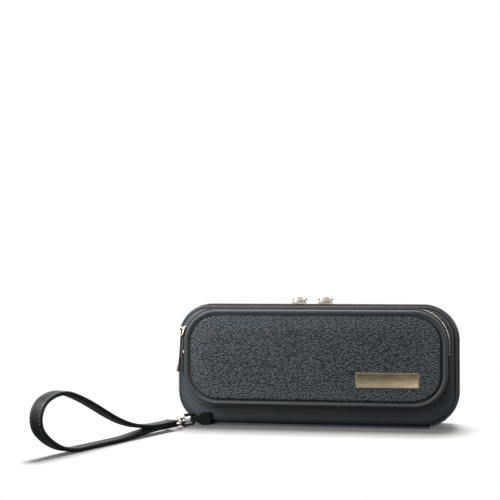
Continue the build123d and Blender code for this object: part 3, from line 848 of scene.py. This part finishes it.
def stitching(name, outline, y, pitch, inset=0, lowest=0, length=stitch_length):
    """A row of stitches that lies on a face in front of the case and follows an outline."""
    stitch = small_block(length, stitch_thick, stitch_thick, stitch_edge)
    span = outline[0] + outline[1]
    half_way = span - 2 * outline[2] * (2 - pi / 2)
    spots = []
    for index in range(int(span / pitch)):
        run = (index + 0.5) * pitch
        for side in (-1, 1):
            spot = place_round(side * run, y, *outline, lift=-inset)
            if spot.translation.z > lowest * MM and run < half_way:
                spots.append(spot)
    return scatter(stitch, name, spots)


flange = upright("pocket_flange_leather", flange_length, flange_height, flange_corner,
                 pocket_back + flange_root, flange_middle)
bpy.ops.mesh.inset(thickness=flange_band * MM)
bpy.ops.mesh.delete(type="FACE")
pick_all()
extrude(y=-flange_wall - flange_root)
finish_mesh()
round_edges(flange, flange_edge, segments=3)
fit(flange, smooth_leather, "case_leather", "lid", "pocket_flange")
seam = stitching("pocket_flange_stitches", flange_outline, pocket_back - flange_wall,
                 stitch_pitch, flange_seam_inset, flange_seam_foot)
fit(seam, waxed_thread, "case_leather", "lid")

gusset = upright("pocket_gusset_leather", pocket_length, pocket_height, pocket_corner,
                 pocket_back, pocket_middle, steps=fine_steps)
outline_only()
pick_all()
for start, end in ((pocket_back, slot_back), (slot_back, slot_front), (slot_front, pocket_face)):
    extrude(y=end - start, edges=True)
cut_at(2, slot_foot)
pick("faces", lambda x, y, z: slot_front < y < slot_back and z > slot_foot)
bpy.ops.mesh.delete(type="FACE")
finish_mesh()
wall_inwards(gusset, gusset_wall)
round_edges(gusset, gusset_edge)
fit(gusset, smooth_leather, "case_leather", "lid", "pocket_gusset")

# Pocket roll: smooth leather turned over a soft cord, with a row of stitches on its inner side
# that draws it down into the groove.
roll_radius = 2.0
roll_inset = 2.1
roll_y = -29.2
roll_stitch_inset = 4.1
roll_stitch_y = -30.0
roll_stitch_pitch = 2.4
roll_stitch_length = 1.5
upright("pocket_roll", pocket_length - 2 * roll_inset, pocket_height - 2 * roll_inset,
        pocket_corner - roll_inset, roll_y, pocket_middle, steps=fine_steps)
outline_only()
roll = tube("pocket_roll", roll_radius)
fit(roll, smooth_leather, "pocket_leather", "lid", "pocket_piping", angle=60)
seam = stitching("pocket_roll_stitches", pocket_outline, roll_stitch_y, roll_stitch_pitch,
                 roll_stitch_inset, length=roll_stitch_length)
fit(seam, waxed_thread, "pocket_leather", "lid")

# Pocket panel and its lining: pebbled leather laid over thin foam, edges drawn down in the groove
# inside the roll. The foam's swell comes from a cloth simulation held round its edge.
panel_length = 209.6
panel_height = 70.8
panel_corner = 23.0
panel_thick = 2.6
panel_edge = 1.3
panel_edge_steps = 4
panel_grain = 1.2
panel_passes = 3
panel_pressure = 30
panel_swell = 0.9
panel_margin = 2.4
panel = upright("pocket_panel_leather", panel_length, panel_height, panel_corner, pocket_face,
                pocket_middle)
extrude(y=-panel_thick)
pick("edges", lambda x, y, z: y < pocket_face - panel_thick + near_enough)
bpy.ops.mesh.bevel(offset=panel_edge * MM, segments=panel_edge_steps, affect="EDGES")
finish_mesh()
remesh(panel, panel_grain, panel_passes)


def at_rim(x, y, z):
    """True at the panel's back and round its edge, where it is sewn down."""
    over_x = max(0, abs(x) - (panel_length / 2 - panel_corner))
    over_z = max(0, abs(z - pocket_middle) - (panel_height / 2 - panel_corner))
    return y > pocket_face - held_depth or hypot(over_x, over_z) > panel_corner - panel_margin


plump(panel, panel_pressure, panel_swell, at_rim)
soften(panel, swell_passes)

# Pebbled leather: embossed cowhide with round pebbles about 2 mm wide and soft creases between
# them.
# Painted shade darkens the creases and a painted highlight lightens each pebble, so with its
# relief it glitters softly in the light from above.
pebbled_leather = leather("pebbled_cowhide", pore_mm=2.3, relief_mm=1.1, shaded_crease_colour="#1D2023",
                          lit_dome_colour="#5E656A", roughness=0.32, warp=0.12)
fit(panel, pebbled_leather, "pocket_leather", "lid", "pocket_panel", angle=60)

lining = upright("pocket_lining_cloth", pocket_length - 2 * gusset_wall,
                 pocket_height - 2 * gusset_wall, pocket_corner - gusset_wall,
                 pocket_face + binding_wall, pocket_middle)
extrude(y=-binding_wall)
finish_mesh()
fit(lining, woven_binding, "binding_tape", "lid", "pocket_lining")

# Pocket zip: two tapes and a bright nickel chain from the left side over the top to the right
# side, with pressed end stops. Along the top the chain is drawn in behind the roll.
pocket_meeting = -23.5
pocket_tape_outer = 4.2
pocket_tape_foot = 60.1
pocket_end = 64.5
pocket_pitch = 2.0
sunk_depth = 2.2
sunk_until = 92.0
sunk_ramp = 12.0
pocket_zip_outline = (pocket_length + 2 * tape_wall, pocket_height + 2 * tape_wall,
                      pocket_corner + tape_wall, pocket_middle)

# Bright nickel: steel or zinc plated with nickel and polished, a warm grey mirror with faint
# handling marks that make its shine uneven.
made, tree, place = new_material("polished_nickel_plate")
wipes = node(tree, "ShaderNodeTexNoise", Vector=place, Scale=1 / (3.5 * MM), Detail=5.0)
gloss = node(tree, "ShaderNodeMapRange", Value=wipes, To_Min=0.14, To_Max=0.3)
polished_nickel = surface(made, shades(tree, wipes, (0.3, "#B3AA9C"), (0.7, "#D2C9BB")),
                          relief=wipes, relief_mm=0.02, Roughness=gloss, Metallic=1.0)


def sunk(run):
    """The chain lies behind the roll on the left and the top, and rises at the right corner."""
    return -sunk_depth * min(1, max(0, (sunk_until - run) / sunk_ramp))


for row_name, side in (("rear", 1), ("front", -1)):
    tape = band(f"pocket_zip_tape_{row_name}_woven", pocket_zip_outline,
                pocket_meeting + side * tape_inner, pocket_meeting + side * pocket_tape_outer,
                tape_wall, pocket_tape_foot)
    fit(tape, herringbone_tape, "zip_tape", "lid", f"pocket_zip_tape_{row_name}")
    row = chain_row(f"pocket_zip_chain_{row_name}", pocket_zip_outline, side, pocket_meeting,
                    pocket_pitch, pocket_end, sunk)
    fit(row, polished_nickel, "nickel", "lid", f"pocket_zip_teeth_{row_name}")
    cord = tape_cord(f"pocket_zip_cord_{row_name}", pocket_zip_outline,
                     pocket_meeting + side * cord_y, cord_radius, pocket_end)
    fit(cord, herringbone_tape, "zip_tape", "lid", angle=60)
stops = frame["nodes"]["pocket_zip_stops"]
stops.data.materials.clear()
stops.data.materials.append(polished_nickel)

# Name plate: a champagne-coloured metal plate left bare, with a bevelled rim round a field that
# is brushed along its length.
plate_length = 53
plate_height = 13.3
plate_x = 61
plate_middle = 41.5
plate_back = -31.4
plate_front = -32.8
plate_bevel = 0.55
plate_rim = 0.7
plate_step = 0.25
plate_recess = 0.12
plate = small_block(plate_length, plate_back - plate_front, plate_height, plate_bevel, plate_x,
                    (plate_back + plate_front) / 2, plate_middle, "bare_name_plate")
edit(plate)
pick("faces", lambda x, y, z: y < plate_front + near_enough)
bpy.ops.mesh.inset(thickness=plate_rim * MM)
bpy.ops.mesh.inset(thickness=plate_step * MM, depth=-plate_recess * MM)
finish_mesh()

# Champagne plate: brass under a brushed warm nickel finish. Strokes run along it, drawn 0.35 mm
# wide so that they show, and spread the shine upwards and downwards.
made, tree, place = new_material("brushed_champagne_nickel")
stretched = node(tree, "ShaderNodeMapping", Vector=place, Scale=(0.04, 1, 1))
strokes = node(tree, "ShaderNodeTexNoise", Vector=stretched, Scale=1 / (0.35 * MM), Detail=3.0)
clouds = node(tree, "ShaderNodeTexNoise", Vector=place, Scale=1 / (14 * MM))
wear = node(tree, "ShaderNodeMath", {"operation": "MULTIPLY_ADD"},
            {0: clouds, 1: 0.5, 2: strokes})
brushed_plate = surface(made, shades(tree, wear, (0.5, "#85775F"), (1.1, "#AE9F86")),
                        relief=strokes, relief_mm=0.03, Metallic=1.0, Roughness=0.38)
fit(plate, brushed_plate, "plate_metal", "lid", "name_plate", angle=30)

# Top sliders: two cast zip sliders that meet at the middle of the top, each a pair of plates over
# and under the chain with a domed lug for its pull. They are polished nickel all over.
slider_places = {"left": -15.1, "right": 7.5}
slider_length = 12.0
slider_width = 7.6
slider_plate = 1.1
slider_top = 103.65
slider_under = 100.05
slider_corner = 1.9
slider_corner_steps = 5
slider_edge = 0.35
slider_rim = 1.1
slider_slope = 0.5
slider_dish = 0.2
lug_radius = 4.52
lug_width = 4.4
lug_centre = 105.13
lug_foot = 104.7
lug_edge = 1.1
lug_sides = 48


def slider_shell(x, z, turn=0):
    """One plate of a slider: its corners rounded and its outer face dished inside a low rim."""
    plate = small_block(slider_length, slider_width, slider_plate, near_enough)
    edit(plate)
    pick("edges", lambda x, y, z: abs(z) < near_enough and abs(x) > 1 and abs(y) > 1)
    bpy.ops.mesh.bevel(offset=slider_corner * MM, segments=slider_corner_steps, affect="EDGES")
    pick("faces", lambda x, y, z: z > slider_plate / 2 - near_enough)
    bpy.ops.mesh.inset(thickness=slider_rim * MM)
    bpy.ops.mesh.inset(thickness=slider_slope * MM, depth=-slider_dish * MM)
    finish_mesh()
    round_edges(plate, slider_edge)
    spot = Vector((x * MM, 0, (z + slider_plate / 2) * MM))
    plate.data.transform(Matrix.Translation(spot) @ Matrix.Rotation(turn, 4, "X"))
    return plate


for side_name, slider_x in slider_places.items():
    top = slider_shell(slider_x, slider_top)
    under = slider_shell(slider_x, slider_under, pi)
    lug = begin("lug", bpy.ops.mesh.primitive_cylinder_add, (slider_x, 0, lug_centre),
                turn=(pi / 2, 0, 0), vertices=lug_sides, radius=lug_radius * MM,
                depth=lug_width * MM)
    cut_at(2, lug_foot, clear_inner=True, use_fill=True)
    finish_mesh()
    round_edges(lug, lug_edge, segments=4)
    slider = merge(f"{side_name}_slider", top, under, lug)
    fit(slider, polished_nickel, "nickel", f"{side_name}_slider", f"top_slider_{side_name}")

# Top pulls: stamped stirrups that straddle the lugs and lie back over the case, with their edges
# tumbled round.
pull_edge = 0.35
flat_angle = radians(2)


def tumbled(node_name, name, width, segments=2):
    """A copy of a CAD node with its flat faces made whole and its edges tumbled round."""
    piece = merged_copy(node_name, name)
    edit(piece)
    pick_all()
    bpy.ops.mesh.dissolve_limited(angle_limit=flat_angle)
    bpy.ops.object.mode_set(mode="OBJECT")
    round_edges(piece, width, segments, angle=40, use_clamp_overlap=True)
    return piece


for side_name in slider_places:
    pull = tumbled(f"top_pull_{side_name}", f"{side_name}_stirrup_pull", pull_edge)
    fit(pull, polished_nickel, "nickel", f"{side_name}_pull", f"top_pull_{side_name}")

# Pocket slider and its long pull: a slider with an arched crown on the pocket's corner, and a
# stamped pull with a slot down its middle that hangs beside the case, leaning in a little.
pocket_slider_edge = 0.3
pocket_pull_edge = 0.4
pull_lean = radians(5)
joint_of = {joint["name"]: joint for joint in frame["joints"]}
slider = tumbled("pocket_slider", "pocket_zip_slider", pocket_slider_edge)
fit(slider, polished_nickel, "nickel", "pocket_slider", "pocket_slider")
pull = tumbled("pocket_pull", "pocket_slotted_pull", pocket_pull_edge, segments=3)
hinge = Vector(joint_of["pocket_pull_swing"]["pos_m"])
pull.data.transform(Matrix.Translation(hinge) @ Matrix.Rotation(-pull_lean, 4, "Y")
                    @ Matrix.Translation(-hinge))
fit(pull, polished_nickel, "nickel", "pocket_pull", "pocket_pull")

# Leather tab: a strip folded round the snap hook and sewn on the lid's lower corner. Its fold is
# soft, so the block is worn round all over.
tab_grain = 0.5
tab_passes = 8
tab = upholstered("strap_tab", "leather_tab", tab_grain, tab_passes)

# Strap leather: bridle cowhide, finer in its grain than the panel and almost black, for the tab
# and the wrist strap.
strap_leather = leather("bridle_cowhide", pore_mm=1.1, relief_mm=0.08, shaded_crease_colour="#101112",
                        lit_dome_colour="#1D2022", roughness=0.36)
fit(tab, strap_leather, "strap_leather", "lid", "strap_tab", angle=60)

# Snap hook: cast and polished, an oval of round wire with a gap for its gate and a collar that
# the swivel eye's stem turns in. It is made lying along X and then turned to its place.
hook_along = Vector(joint_of["eye_swivel"]["axis"])
hook_place = Matrix.Translation(Vector(joint_of["hook_swing"]["pos_m"])) @ Matrix((
    (hook_along.x, -hook_along.y, 0, 0), (hook_along.y, hook_along.x, 0, 0),
    (0, 0, 1, 0), (0, 0, 0, 1)
))
hook_wire = 2.6
hook_length = 17.6
hook_height = 8.4
hook_middle = 8.8
hook_bend = 3.4
bend_steps = 8
mouth_start = 5.0
mouth_end = 11.4
gate_edge = 0.3
collar_start = 16.9
collar_end = 24.1
collar_radius = 3.2
collar_groove = 0.5
collar_cuts = (0.32, 0.42, 0.58, 0.68)
collar_waist = 0.1
collar_edge = 0.6
collar_sides = 40
wire_roundness = 5


def turned_collar(start, end, radius, groove, name):
    """A turned collar along X: rounded at both ends, with one groove round its middle."""
    length, middle = end - start, (start + end) / 2
    collar = begin(name, bpy.ops.mesh.primitive_cylinder_add, (middle, 0, 0),
                   turn=(0, pi / 2, 0), vertices=collar_sides, radius=radius * MM,
                   depth=length * MM)
    for share in collar_cuts:
        cut_at(0, start + share * length)
    pick("verts", lambda x, y, z: abs(x - middle) < length * collar_waist)
    slimmer = 1 - groove / radius
    bpy.ops.transform.resize(value=(1, slimmer, slimmer), center_override=(middle * MM, 0, 0))
    finish_mesh()
    round_edges(collar, collar_edge, segments=3, angle=50)
    return collar


upright("hook_wire", hook_length, hook_height, hook_bend, 0, 0, x=hook_middle, steps=bend_steps)
outline_only()
for mouth in (mouth_start, mouth_end):
    cut_at(0, mouth)
pick("edges", lambda x, y, z: mouth_start < x < mouth_end and z < 0)
bpy.ops.mesh.delete(type="EDGE")
ring = tube("hook_wire", hook_wire / 2, wire_roundness)
collar = turned_collar(collar_start, collar_end, collar_radius, collar_groove, "hook_collar")
hook = merge("polished_snap_hook", ring, collar)
hook.data.transform(hook_place)
fit(hook, polished_nickel, "nickel", "hook", "snap_hook", angle=45)
gate = tumbled("hook_gate", "sprung_hook_gate", gate_edge)
fit(gate, polished_nickel, "nickel", "gate", "hook_gate")

# Swivel eye: a rectangular loop of round wire that lies flat, cast in one with the stem that turns
# in the hook's collar. The strap is folded round its far bar.
eye_wire = 2.2
eye_start = 25.5
eye_bar = 32.5
eye_span = 14.0
eye_bend = 2.0
eye_bend_steps = 6
stem_radius = 1.1
stem_groove = 0.1
stem_start = 17.9
stem_end = 26.1
begin("eye_loop", bpy.ops.mesh.primitive_plane_add, ((eye_start + eye_bar) / 2, 0, 0),
      (eye_bar - eye_start, eye_span, 1), size=MM)
bpy.ops.mesh.bevel(offset=eye_bend * MM, segments=eye_bend_steps, affect="VERTICES")
pick_all()
outline_only()
loop = tube("eye_loop", eye_wire / 2, wire_roundness)
stem = turned_collar(stem_start, stem_end, stem_radius, stem_groove, "eye_stem")
eye = merge("nickel_swivel_eye", loop, stem)
eye.data.transform(hook_place)
fit(eye, polished_nickel, "nickel", "eye", "swivel_eye", angle=45)

# Wrist strap: two layers of the same leather sewn back to back with painted edges. The loop stands
# on its edge as it left the hand: out along the floor, up and round a small nose, and back.
strap_width = 11.0
strap_wall = 2.9
strap_edge = 0.7
strap_edge_angle = 50
tail_end = 52.5
branch_x = 49.5
branch_rise = 1.1
foot_rise = -3.95
rise_run = 56.0
foot_run = 44.0
sole = (55.0, 45.0)
nose = (15.0, 112.0)
crown = (35.0, 42.0)
path_step = 3.0
leave_share = 0.36
arrive_share = 1.3 * leave_share


def run_on(route, heading, radius, turn):
    """Carries a route on along an arc that turns upwards to the left, in short steps."""
    steps = int(radius * radians(turn) / path_step)
    x, z = route[-1]
    for index in range(1, steps + 1):
        angle = heading + radians(turn) * index / steps
        route.append((x + radius * (sin(angle) - sin(heading)),
                      z - radius * (cos(angle) - cos(heading))))
    return heading + radians(turn)


def reach_for(route, heading, goal):
    """Carries a route on in one soft S that leaves it smoothly and comes level to a goal."""
    x, z = route[-1]
    span = hypot(goal[0] - x, goal[1] - z)
    leave = leave_share * span
    corners = ((x, z), (x + leave * cos(heading), z + leave * sin(heading)),
               (goal[0] + arrive_share * span, goal[1]), goal)
    steps = int(span / path_step)
    for index in range(1, steps + 1):
        t = index / steps
        shares = ((1 - t) ** 3, 3 * t * (1 - t) ** 2, 3 * t ** 2 * (1 - t), t ** 3)
        route.append(tuple(sum(share * corner[axis] for share, corner in zip(shares, corners))
                           for axis in (0, 1)))


foot_start = (branch_x + rise_run, foot_rise)
lower = [foot_start]
reach_for(lower, pi, (branch_x, -branch_rise))
route = lower[::-1]
foot_steps = int(foot_run / path_step)
for index in range(1, foot_steps + 1):
    route.append((foot_start[0] + foot_run * index / foot_steps, foot_rise))
heading = 0
for radius, turn in (sole, nose, crown):
    heading = run_on(route, heading, radius, turn)
reach_for(route, heading, (branch_x, branch_rise))


def strip(name, route, width, wall, edge):
    """A leather strip that follows a route of (x, z) points in mm, one step after another. It
    starts as the left edge of a 1 mm sheet, half a mm beside the sheet's middle."""
    piece = begin(name, bpy.ops.mesh.primitive_plane_add, (0, 0, 0), size=MM)
    pick("verts", lambda x, y, z: x > 0)
    bpy.ops.mesh.delete(type="VERT")
    pick_all()
    bpy.ops.transform.resize(value=(1, width, 1), center_override=(0, 0, 0))
    bpy.ops.transform.translate(value=((route[0][0] + 0.5) * MM, 0, route[0][1] * MM))
    for (x, z), (next_x, next_z) in zip(route, route[1:]):
        extrude(next_x - x, 0, next_z - z, edges=True)
    finish_mesh()
    thicken(piece, wall, 0)
    round_edges(piece, edge, segments=3, angle=strap_edge_angle)
    return piece


# The tail: both ends of the strap end in one thinner layer that is folded round the eye's bar and
# sewn to itself over a filler.
fold_rise = 1.85
fold_radius = 2.15
fold_wall = 1.4
fold_edge = 0.45
fold_steps = 8
turn_steps = 12
tail_length = tail_end - eye_bar
filler_short = 3.2
filler_narrow = 0.8
filler_wall = 2.3
filler_shift = 1.5
filler_edge = 0.3
fold = [(tail_end - index * tail_length / fold_steps, -fold_rise)
        for index in range(fold_steps + 1)]
fold += [(eye_bar - fold_radius * sin(pi * index / turn_steps),
          -fold_radius * cos(pi * index / turn_steps)) for index in range(1, turn_steps + 1)]
fold += [(eye_bar + index * tail_length / fold_steps, fold_rise)
         for index in range(1, fold_steps + 1)]
loop = strip("strap_loop", route, strap_width, strap_wall, strap_edge)
keeper = strip("strap_tail_fold", fold, strap_width, fold_wall, fold_edge)
filler = small_block(tail_length - filler_short, strap_width - filler_narrow, filler_wall,
                     filler_edge, x=(tail_end + eye_bar) / 2 + filler_shift)
strap = merge("wrist_strap_leather", loop, keeper, filler)
strap.data.transform(hook_place)
fit(strap, strap_leather, "strap_leather", "strap", "wrist_strap", angle=50)

# Strap stitches: the same waxed thread along both edges of the loop and on both its faces, from
# one end of the tail to the other.
strap_stitch = (1.7, 0.4, 0.4)
strap_stitch_edge = 0.15
strap_stitch_pitch = 2.6
strap_seam_inset = 1.5
strap_seam_y = strap_width / 2 - strap_seam_inset
seam_margin = 3


def stitched(name, route, y, off, pitch=strap_stitch_pitch):
    """Stitches that follow a route at one depth, standing a little off its middle surface."""
    spots = []
    left = pitch
    for (x, z), (next_x, next_z) in zip(route, route[1:]):
        step = hypot(next_x - x, next_z - z)
        angle = atan2(next_z - z, next_x - x)
        while left < step:
            share = left / step
            spot = Vector((x + share * (next_x - x) - off * sin(angle), y,
                           z + share * (next_z - z) + off * cos(angle))) * MM
            spots.append(Matrix.Translation(spot) @ Matrix.Rotation(-angle, 4, "Y"))
            left += pitch
        left -= step
    return scatter(small_block(*strap_stitch, strap_stitch_edge), name, spots)


rows = [stitched("strap_stitches", route[seam_margin:-seam_margin], y, off)
        for y in (-strap_seam_y, strap_seam_y) for off in (-strap_wall / 2, strap_wall / 2)]
seam = merge("strap_stitches", *rows)
seam.data.transform(hook_place)
fit(seam, waxed_thread, "strap_leather", "strap")
